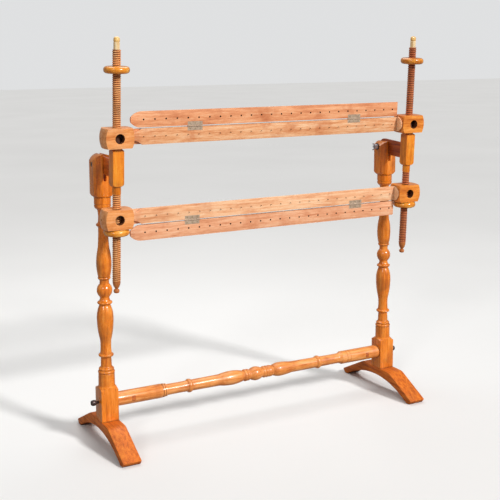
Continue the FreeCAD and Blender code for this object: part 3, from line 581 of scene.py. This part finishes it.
def makeFoot(side):
    top, flat, reach, toe = layout["footTop"], foot["flat"], foot["reach"], foot["toe"]
    run, drop = reach - flat, top - toe
    slope = math.hypot(run, drop)
    ease = foot["topEase"]
    outer = (flat + ease * run / slope, top - ease * drop / slope)
    corners = [(-foot["arch"], 0), (foot["arch"], 0, foot["archBow"]), (foot["sole"], 0), (reach, toe),
               outer, (flat - ease, top, 0.059), (-(flat - ease), top), (-outer[0], outer[1], 0.059),
               (-reach, toe), (-foot["sole"], 0), (-foot["arch"], 0)]
    piece = sawFromBoard(f"arched_foot_{side}", corners, foot["width"])
    applyPlace(piece, Matrix.Translation((postSide(side) * mm, 0, 0)) @ Matrix.Rotation(math.radians(90), 4, "Z"))
    easeEdges(piece, foot["edge"], 3)
    paint(piece, footBeech)
    return finishPiece(piece, "stand", [f"foot_{side}"])


# ---------- stretcher ----------
stretcher = {
    # (radius, place along the bar from its middle, bow)
    "turning": [
        (0, -525), (23.5, -525), (23.5, -364), (22.8, -362.6), (20.8, -362), (20.8, -359.6), (22.8, -359),
        (22.8, -354), (20, -353.4), (20, -351), (21.6, -350.4), (21.6, -346), (18.6, -344.6), (18, -300),
        (18.6, -268), (20.4, -266.5), (20.4, -251.5, 0.2), (18.8, -249.6), (19.6, -143.9), (24.5, -96.6, 0.026),
        (19, -55.7, 0.033), (17.4, -50.5, -0.1), (19.2, -48), (19.2, -37.5, 0.18), (18.7, -36.8),
        (18.7, -27.6, 0.18), (17.2, -26), (17.6, -22), (17.6, 22, 0.15), (17.2, 26), (18.7, 28),
        (18.7, 37.4, 0.18), (19, 38.2), (19, 47.5, 0.18), (18, 66.2, 0.09), (17.4, 70), (19.2, 71),
        (24.5, 97, 0.05), (19.6, 143.9, 0.02), (18.8, 249.6), (20.4, 251.5), (20.4, 266.5, 0.2), (18.6, 268),
        (18, 300), (18, 345.5), (23.5, 361, -0.08), (23.5, 380), (22.2, 381.2), (23.5, 382.6), (23.5, 393.8),
        (22.2, 395.2), (23.5, 396.8), (23.5, 525), (0, 525),
    ],
    "plug": [(0, 20), (8, 20), (8.7, 20.6), (8.7, 22.4), (7.6, 23.4, 0.1), (0, 23.9, 0.02)],
    "plugReach": 469,
}


def makeStretcher():
    piece = turnOnLathe("turned_stretcher", stretcher["turning"], 64)
    applyPlace(piece, Matrix.Translation((0, 0, layout["stretcherZ"] * mm)) @ alongX)
    paint(piece, lyingBeech)
    finishPiece(piece, "stand", ["stretcher"])
    for side in sides:
        plug = turnOnLathe(f"bolt_plug_{side}", stretcher["plug"], 32)
        x = stretcher["plugReach"] * (-1 if side == "left" else 1)
        applyPlace(plug, Matrix.Translation(Vector((x, 0, layout["stretcherZ"])) * mm) @ alongY)
        paint(plug, plugWood)
        finishPiece(plug, "stand", ())


# ---------- rods, their threads and nuts ----------
rod = {
    "rootRadius": 11,
    "pitch": 6.4,
    # one ridge of the thread: (height above the root, share of the pitch)
    "ridge": [(0, 0), (0, 0.08), (1.65, 0.32), (2, 0.4), (2, 0.74), (1.65, 0.8), (0, 1)],
    # Inside this radius the thread is painted dark, as painted shade between the turns.
    "rootShadeRadius": 11.9,      # inside it the thread is dark
    "upperThread": (131, 371),
    "tipDrop": {"left": 3.5, "right": 0},       # the left rod ends lower
    "lowerTop": -73,
    "lowerEnd": {"left": -389, "right": -375},
    "endLength": 40,
    # plain lengths of the rod, one through the upper block's hole and one below the square
    "seat": [(0, 60), (13.4, 60), (13.4, 128), (12.6, 131.5), (0, 131.5)],
    "waist": [(0, -75), (12.2, -75), (13.4, -72), (13.4, -45), (0, -45)],
    "blockHalf": 18,
    "blockLow": -49,
    "blockHigh": 70.5,
    "blockEnvelope": [(0, -49), (15.5, -49), (25.2, -40, 0.14), (27, -35), (27, 58.5), (17.2, 64.5, 0.14),
                      (17.2, 70.5), (0, 70.5)],
    "edge": 1.4,
    "tip": [(0, 369), (9.5, 369), (9.5, 392.6), (8.4, 394), (0, 394)],
    "bead": [(0, 393), (8.2, 393.4), (8.4, 394.4), (9.2, 395.4, 0.2), (9.2, 403, 0.1), (6.6, 408.4, 0.16),
             (0, 410, 0.06)],
    # lower end, from its tip: a button, a thin neck and an ogive up to the thread
    "foot": [(0, 0), (5.4, 0.3), (8.7, 4.2, 0.2), (8.7, 9.4, 0.1), (7.2, 11.6, 0.1), (5, 13.4, -0.1),
             (5, 15.8), (8.4, 20.5, 0.1), (12.3, 38, 0.07), (12.3, 41), (0, 41)],
}


# One thread ridge is wound upward, and its ends are cut square.
def windThread(name, low, high, crestWood, rootShade):
    pitch = rod["pitch"]
    ridge = [(rod["rootRadius"] + out, pitch * share) for out, share in rod["ridge"]]
    piece = drawOutline(name, outlinePoints(ridge))
    backToObject()
    wind = piece.modifiers.new("wound", "SCREW")
    wind.angle = 2 * math.pi
    wind.screw_offset = pitch * mm
    wind.iterations = int((high - low) / pitch) + 2
    wind.steps = wind.render_steps = 30
    wind.use_merge_vertices = True
    wind.merge_threshold = 0.00001
    wind.use_normal_calculate = True
    applyModifiers(piece)
    applyPlace(piece, Matrix.Translation((0, 0, (low - pitch) * mm)))
    pickOnly(piece)
    bpy.ops.object.mode_set(mode="EDIT")
    weldAll(0.00001)
    bpy.ops.mesh.bisect(plane_co=(0, 0, low * mm), plane_no=(0, 0, 1), clear_inner=True, use_fill=True)
    bpy.ops.mesh.select_all(action="SELECT")
    bpy.ops.mesh.bisect(plane_co=(0, 0, high * mm), plane_no=(0, 0, 1), clear_outer=True, use_fill=True)
    bpy.ops.mesh.select_all(action="SELECT")
    bpy.ops.mesh.normals_make_consistent(inside=False)
    backToObject()
    paint(piece, crestWood, rootShade)
    # faces inside the root radius take the second material, painted shade between the turns
    for face in piece.data.polygons:
        if math.hypot(face.center.x, face.center.y) < rod["rootShadeRadius"] * mm:
            face.material_index = 1
    return piece


def makeRod(side):
    low, drop, half = rod["lowerEnd"][side], rod["tipDrop"][side], rod["blockHalf"]
    woods = (threadCrest, threadRootShade) if side == "left" else (redCrest, redRootShade)
    threadLow, threadHigh = rod["upperThread"]
    upper = windThread("upper thread", threadLow, threadHigh - drop, *woods)
    lower = windThread("lower thread", low + rod["endLength"], rod["lowerTop"], *woods)
    # the plain length inside the upper block's hole is painted dark, as painted shade in the hole
    seat = paint(turnOnLathe("seat", rod["seat"], 48), boreShadePaint)
    waist = paint(turnOnLathe("waist", rod["waist"], 48), rodBlockBeech)
    block = squareBlock("rod block", (-half, -half, rod["blockLow"]), (half, half, rod["blockHigh"]))
    carve(block, turnOnLathe("lathe cut", rod["blockEnvelope"], 64), "INTERSECT")
    easeEdges(block, rod["edge"], 3)
    paint(block, rodBlockBeech)
    tip = paint(turnOnLathe("tip", rod["tip"], 40), palestTip)
    bead = paint(turnOnLathe("bead", rod["bead"], 40), tipBead)
    for piece in (tip, bead):
        applyPlace(piece, Matrix.Translation((0, 0, -drop * mm)))
    end = paint(turnOnLathe("lower end", rod["foot"], 40), wornEnd)
    applyPlace(end, Matrix.Translation((0, 0, low * mm)))
    whole = joinPieces(f"threaded_rod_{side}", [upper, lower, seat, waist, block, tip, bead, end])
    applyPlace(whole, inFrame(postSide(side), 0))
    return finishPiece(whole, "work_frame", [f"rod_{side}"])


nut = {
    "upperLow": {"left": 296.5, "right": 313},
    "thickness": 22,
    "restGap": 0.3,         # between a lower nut and the block that rests on it
    "profile": [(13.4, 1.4), (14.6, 0), (26, 0), (30.5, 0.4), (39.9, 9.6, 0.2), (39.9, 12.4), (30.5, 21.6, 0.2),
                (26, 22), (14.6, 22), (13.4, 20.6), (13.4, 1.4)],
}


def makeNut(level, side):
    lowFace = layout["lowerRise"] - roller["blockHalf"] - nut["restGap"] - nut["thickness"]
    if level == "upper":
        lowFace = nut["upperLow"][side]
    piece = turnOnLathe(f"wheel_nut_{level}_{side}", nut["profile"], 72)
    applyPlace(piece, inFrame(postSide(side), lowFace))
    paint(piece, nutBeech)
    return finishPiece(piece, f"{level}_nut_{side}", [f"{level}_nut_{side}"], 28)


# ---------- tongues ----------
tongue = {
    "half": 28,
    "stubHalf": 19,
    "face": -115.8,
    "stub": -131.8,
    "thickness": 9.4,
    "eye": 5.1,
    "quarter": 0.2071,      # the bow of a quarter circle
    "edge": 1.1,
}


def makeTongue(side):
    half, face, stub, stubHalf = tongue["half"], tongue["face"], tongue["stub"], tongue["stubHalf"]
    corners = [(stub, -stubHalf), (face, -stubHalf), (face, -half), (0, -half), (half, 0, tongue["quarter"]),
               (0, half, tongue["quarter"]), (face, half), (face, stubHalf), (stub, stubHalf), (stub, -stubHalf)]
    piece = sawFromBoard(f"pivot_tongue_{side}", corners, tongue["thickness"])
    applyPlace(piece, Matrix.Rotation(math.radians(90), 4, "Z"))
    carve(piece, drillBit("eye bit", tongue["eye"], 40, alongX))
    easeEdges(piece, tongue["edge"], 2)
    applyPlace(piece, inFrame(postSide(side), 0, 0))
    # the left tongue takes the copy painted paler, as painted light
    paint(piece, tongueWoodsLitAndShaded[side])
    return finishPiece(piece, "work_frame", [f"tongue_{side}"])


# ---------- rollers and flaps ----------
roller = {
    "blockHalf": 30.5,
    "blockOuter": 604,
    "rodHole": 13.8,
    "crossHole": 15.4,
    "edge": 1.7,
    "flatEdge": 3.2,        # how far the sawn edges of bar and flap are eased
    "edgeTrim": 1.2,        # planed off along the hinges
    # right-hand block as the lathe leaves it: (radius, distance from the middle, bow)
    "envelope": [(0, 508), (25.75, 508), (43.9, 517.6, 0.16), (46, 520), (46, 588), (44.5, 590.6, 0.1),
                 (14, 603, 0.06), (3.2, 604, 0.02), (2.6, 600.5), (0, 599.6)],
    "gap": 0.15,            # left by the rip saw on each side of the cut
    "bulletLength": 38,     # the left ends of bar and flap narrow to a point like a bullet
    "bulletTip": 11,
    "bulletDepth": 8,
    "flapGap": 0.3,
    "flapNose": [(0, 0), (9, 0), (11, 1.4, 0.2)],
    "flapRim": 1.2,
    "hinges": {"upper": (-290.5, 316.5), "lower": (-296, 338)},
    "hingeHalf": 26.1,
    "hingeReach": 26.35,    # from the roller's axis to the hinge pin
    "seats": [(14.3, 1.95), (2.85, 2.9)],       # of leaf and barrel: reach from the pin, depth
    "holeFirst": {"upper": -466, "lower": -459},
    "holePitch": 37.8,
    "holeCount": 26,
    "holeRadius": 2.8,
    "holeDepth": 6.6,
}


def blockOnLathe(side):
    half = roller["blockHalf"]
    block = squareBlock("roller block", (layout["barHalf"], -half, -half), (roller["blockOuter"], half, half))
    carve(block, applyPlace(turnOnLathe("lathe cut", roller["envelope"], 72), alongX), "INTERSECT")
    paint(block, blockBeech if side == "left" else blockPolished)
    upright = Matrix.Translation((layout["postX"] * mm, 0, 0))
    lying = upright @ alongY
    # the walls of the rod hole and the cross hole are painted dark, as painted shade
    carve(block, paint(drillBit("rod bit", roller["rodHole"], 90, upright, 56), boreShadePaint))
    carve(block, paint(drillBit("cross bit", roller["crossHole"], 90, lying, 56), boreShadePaint))
    easeEdges(block, roller["edge"], 3, 40)
    if side == "left":
        applyPlace(block, Matrix.Rotation(math.pi, 4, "Z"))
    return block


# Seats for the two butt hinges, cut into the edge that carries them. The side is +1
# where that edge is the upper one.
def cutHingeSeats(piece, level, edgeSide):
    for x in roller["hinges"][level]:
        wide = roller["hingeHalf"]
        for reach, deep in roller["seats"]:
            edge = sorted((edgeSide * (roller["hingeReach"] - reach), edgeSide * (roller["hingeReach"] + 4)))
            carve(piece, squareBlock("seat chisel", (x - wide, -10, edge[0]), (x + wide, deep, edge[1])))


# The edge along the hinges is planed a little, so that light shows between the halves.
def planeEdge(piece, edgeSide, start, end):
    radius = layout["barRadius"]
    edge = sorted((edgeSide * (radius - roller["edgeTrim"]), edgeSide * (radius + 5)))
    carve(piece, squareBlock("plane", (start, -40, edge[0]), (end, 40, edge[1])))


def splitBar(level):
    half, radius = layout["barHalf"], layout["barRadius"]
    discFace = half - layout[level + "Disc"]
    bar = turnOnLathe("bar", [(0, -half), (radius, -half), (radius, half), (0, half)], 72)
    applyPlace(bar, alongX)
    carve(bar, squareBlock("rip saw", (-half - 5, -40, -40), (discFace, roller["gap"], 40)))
    out, tip, end = -half - 4, roller["bulletTip"], -half + roller["bulletLength"]
    for sign in (1, -1):
        corners = [(out, sign * tip), (-half, sign * tip), (end, sign * radius, 0.1 * sign),
                   (end, sign * (radius + 6)), (out, sign * (radius + 6)), (out, sign * tip)]
        carve(bar, sawFromBoard("bullet chisel", corners, 2 * roller["bulletDepth"]))
    edgeSide = 1 if level == "upper" else -1
    planeEdge(bar, edgeSide, -half - 5, discFace)
    easeEdges(bar, roller["flatEdge"], 3, 50)
    cutHingeSeats(bar, level, edgeSide)
    paint(bar, barWoods[level], paintedLitEnd)
    # the end face of the full round is painted pale, as painted light
    for face in bar.data.polygons:
        if face.normal.x < -0.9 and abs(face.center.x / mm - discFace) < 1:
            face.material_index = 1
    return bar


def makeRoller(level):
    bar = splitBar(level)
    blocks = [blockOnLathe(side) for side in sides]
    whole = joinPieces(f"split_roller_{level}", [bar] + blocks)
    applyPlace(whole, inFrame(0, layout[level + "Rise"]))
    return finishPiece(whole, f"{level}_roller", [f"{level}_roller"])


def makeFlap(level):
    half, radius = layout["barHalf"], layout["barRadius"]
    start, end = -half + roller["flapGap"], half - layout[level + "Disc"] - roller["flapGap"]
    rim = roller["flapRim"]
    corners = [(across, start + along, *bow) for across, along, *bow in roller["flapNose"]]
    corners += [(radius, -half + roller["bulletLength"], 0.1), (radius, end - rim), (radius - rim, end), (0, end)]
    piece = turnOnLathe(f"hinged_flap_{level}", corners, 72)
    applyPlace(piece, alongX)
    carve(piece, squareBlock("rip saw", (start - 5, -40, -40), (end + 5, roller["gap"], 40)))
    edgeSide = -1 if level == "upper" else 1
    planeEdge(piece, edgeSide, start - 5, end + 5)
    easeEdges(piece, roller["flatEdge"], 3, 50)
    cutHingeSeats(piece, level, edgeSide)
    paint(piece, flapWoods[level])
    bits = []
    for index in range(roller["holeCount"]):
        x = roller["holeFirst"][level] + index * roller["holePitch"]
        bits.append(drillBit("pin bit", roller["holeRadius"], 2 * roller["holeDepth"],
                             Matrix.Translation((x * mm, 0, 0)) @ alongY, 14))
    # the walls of the pin holes are painted dark, as painted shade
    carve(piece, paint(joinPieces("row of bits", bits), holeShadePaint))
    lift = 2 * roller["hingeReach"] * (1 if level == "upper" else -1)
    applyPlace(piece, inFrame(0, layout[level + "Rise"] + lift))
    return finishPiece(piece, f"{level}_flap", [f"{level}_flap"])


# ---------- small ironwork ----------
# Outlines are (radius, distance from the post's axis, bow), outward first.
iron = {
    "knob": [(0, -55.5), (4, -55.3), (8.2, -52.6, 0.2), (9.3, -47, 0.12), (8.6, -41.4, 0.12), (6.6, -38, 0.14),
             (4.6, -37), (4.5, -26), (4.5, 94), (0, 94)],
    "boltHead": [(0, -34), (6, -33.9, 0.02), (7.4, -33.2, 0.14), (7.5, -29.5), (5, -29.5), (5, 50), (0, 50)],
    "washer": [(5.3, 34.6), (12, 34.6), (12, 35.9), (5.3, 35.9), (5.3, 34.6)],
    "hub": [(5.3, 36.1), (8.6, 36.1), (8.6, 39.6), (7.4, 47.6, 0.1), (6.4, 48.2), (5.3, 48.2), (5.3, 36.1)],
    "ear": [(6, 37.6), (8.6, 38.6), (10.4, 46, -0.06), (12.4, 53, 0.04), (11.8, 56, 0.22), (8.8, 55.6, 0.2),
            (7, 49, -0.04), (5.6, 45.4, -0.1), (6, 37.6)],
    "tail": [(0, 50), (5, 50), (5, 52), (4, 53), (0, 53)],
    "earThickness": 4.6,
    "earEdge": 1.1,
}


def makeIronwork(side):
    x = postSide(side)
    turn = alongX if side == "left" else alongX @ Matrix.Rotation(math.pi, 4, "X")
    bolt = turnOnLathe(f"bed_bolt_knob_{side}", iron["knob"], 32)
    applyPlace(bolt, Matrix.Translation(Vector((x, 0, layout["stretcherZ"])) * mm) @ turn)
    finishPiece(paint(bolt, darkIron), "stand", [f"bed_bolt_{side}"])
    pivotPlace = Matrix.Translation(Vector((x, 0, layout["pivotZ"])) * mm) @ turn
    head = paint(turnOnLathe("bolt head", iron["boltHead"], 36), darkIron)
    washer = paint(turnOnLathe("washer", iron["washer"], 40), darkIron)
    # the bolt's tail takes the wing nut's painted sheen
    tail = paint(turnOnLathe("tail", iron["tail"], 36), wingIronPaintedBright)
    pivot = joinPieces(f"pivot_bolt_head_{side}", [head, washer, tail])
    applyPlace(pivot, pivotPlace)
    finishPiece(pivot, "stand", [f"pivot_bolt_{side}"])
    hub = turnOnLathe("hub", iron["hub"], 36)
    ears = []
    for half in (0, math.pi):
        ear = sawFromBoard("ear", iron["ear"], iron["earThickness"])
        easeEdges(ear, iron["earEdge"], 3, 40)
        ears.append(applyPlace(ear, Matrix.Rotation(half, 4, "Z")))
    wing = joinPieces(f"wing_nut_iron_{side}", [hub] + ears)
    applyPlace(wing, pivotPlace)
    # the wing nut is painted near white, as painted sheen
    finishPiece(paint(wing, wingIronPaintedBright), f"wing_nut_{side}", [f"wing_nut_{side}"])


screw = {
    "places": (-18, 0, 18),
    "fromPin": 8.6,
    "head": [(0, -0.6), (2.3, -0.6), (2.3, 0.02), (1.6, 0.09, 0.05), (0, 0.1)],
    "slot": ((-4, -0.35, -0.3), (4, 0.35, 2)),
    "sink": 0.15,
}


def makeScrews(level):
    up = 1 if level == "upper" else -1
    pinRise = layout[level + "Rise"] + up * roller["hingeReach"]
    for part, direction in (("roller", -up), ("flap", up)):
        heads = []
        for x in roller["hinges"][level]:
            for offset in screw["places"]:
                head = turnOnLathe("screw", screw["head"], 20)
                slot = squareBlock("slot", *screw["slot"])
                # no two slots stand alike
                carve(head, applyPlace(slot, Matrix.Rotation(offset * 0.7 + x, 4, "Z")))
                spot = Vector((x + offset, screw["sink"], direction * screw["fromPin"])) * mm
                heads.append(applyPlace(head, Matrix.Translation(spot) @ alongY))
        whole = joinPieces(f"hinge_screws_{level}_{part}", heads)
        applyPlace(whole, inFrame(0, pinRise))
        finishPiece(paint(whole, screwBrass), f"{level}_{part}", ())


for side in sides:
    makePost(side)
    makeFoot(side)
    makeRod(side)
    makeTongue(side)
    makeIronwork(side)
    for level in levels:
        makeNut(level, side)
    print(side, "side made")
makeStretcher()
for level in levels:
    makeRoller(level)
    makeFlap(level)
    makeScrews(level)
    print(level, "roller and flap made")

# CAD nodes that show as they are: the hinges, the rows of pins and the bar nuts.
for name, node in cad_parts.items():
    if "hinge" in name:
        paint(node, hingeBrass)
    elif name.endswith("_pins"):
        paint(node, pinSteel)
    elif name.startswith("bed_nut"):
        paint(node, darkIron)

# ---------- floor and light ----------
studio = {
    "floor": ("#f0efed", "#f4f3f1"),
    "floorSize": 60,
    "bounce": "#8f8b87",    # the floor's grey for the light that it throws back at the wood
    "airTone": "#f4f5f6",
    "air": 0.28,            # strength of the air as a light
    "backdrop": 0.82,       # and where the camera looks at it
    "aim": (0, 0, 0.6),
    # strength, where it stands, spread in degrees
    "suns": {"key": (2.75, (1.2, -2.9, 2.6), 9), "left key": (0.55, (-2.5, -2.3, 2.5), 12)},
    # watts, where it hangs, size in metres
    "lamps": {"top": (34, (0.2, 0.8, 3.0), 2.2)},
}


def hangLamp(name, kind, energy, spot):
    lamp = bpy.data.lights.new(name, kind)
    lamp.energy = energy
    holder = bpy.data.objects.new(name, lamp)
    bpy.context.scene.collection.objects.link(holder)
    aim = Vector(studio["aim"]) - Vector(spot)
    holder.matrix_world = Matrix.Translation(spot) @ aim.to_track_quat("-Z", "Y").to_matrix().to_4x4()
    return lamp


def makeStudio():
    pickNothing()
    bpy.ops.mesh.primitive_grid_add(x_subdivisions=8, y_subdivisions=8, size=studio["floorSize"],
                                    location=(0, 0, -0.0004))
    floor = bpy.context.object
    floor.name = "floor"
    material, tree, shader = newMaterial("plain pale studio floor")
    place = addNode(tree, "TexCoord")
    cloud = addNode(tree, "TexNoise", {"Vector": (place, "Object"), "Scale": 0.8, "Detail": 2.0})
    tone = addNode(tree, "ValToRGB", {"Fac": (cloud, "Fac")}, stops=list(zip((0.3, 0.7), studio["floor"])))
    seen = addNode(tree, "LightPath")
    shown = addNode(tree, "MixRGB", {"Fac": (seen, "Is Camera Ray"), "Color1": colour(studio["bounce"]),
                                     "Color2": (tone, "Color")})
    tree.links.new(shown.outputs["Color"], shader.inputs["Base Color"])
    shader.inputs["Roughness"].default_value = 0.85
    paint(floor, material)
    world = bpy.data.worlds.new("studio air")
    world.use_nodes = True
    air = world.node_tree
    seen = addNode(air, "LightPath")
    glow = addNode(air, "MapRange", {"Value": (seen, "Is Camera Ray"), "To Min": studio["air"],
                                     "To Max": studio["backdrop"]})
    background = air.nodes["Background"]
    background.inputs["Color"].default_value = colour(studio["airTone"])
    air.links.new(glow.outputs["Result"], background.inputs["Strength"])
    bpy.context.scene.world = world
    for name, (strength, spot, spread) in studio["suns"].items():
        hangLamp(name, "SUN", strength, spot).angle = math.radians(spread)
    for name, (energy, spot, size) in studio["lamps"].items():
        hangLamp(name, "AREA", energy, spot).size = size


makeStudio()
bpy.context.scene.view_settings.view_transform = "Standard"
print("studio made")
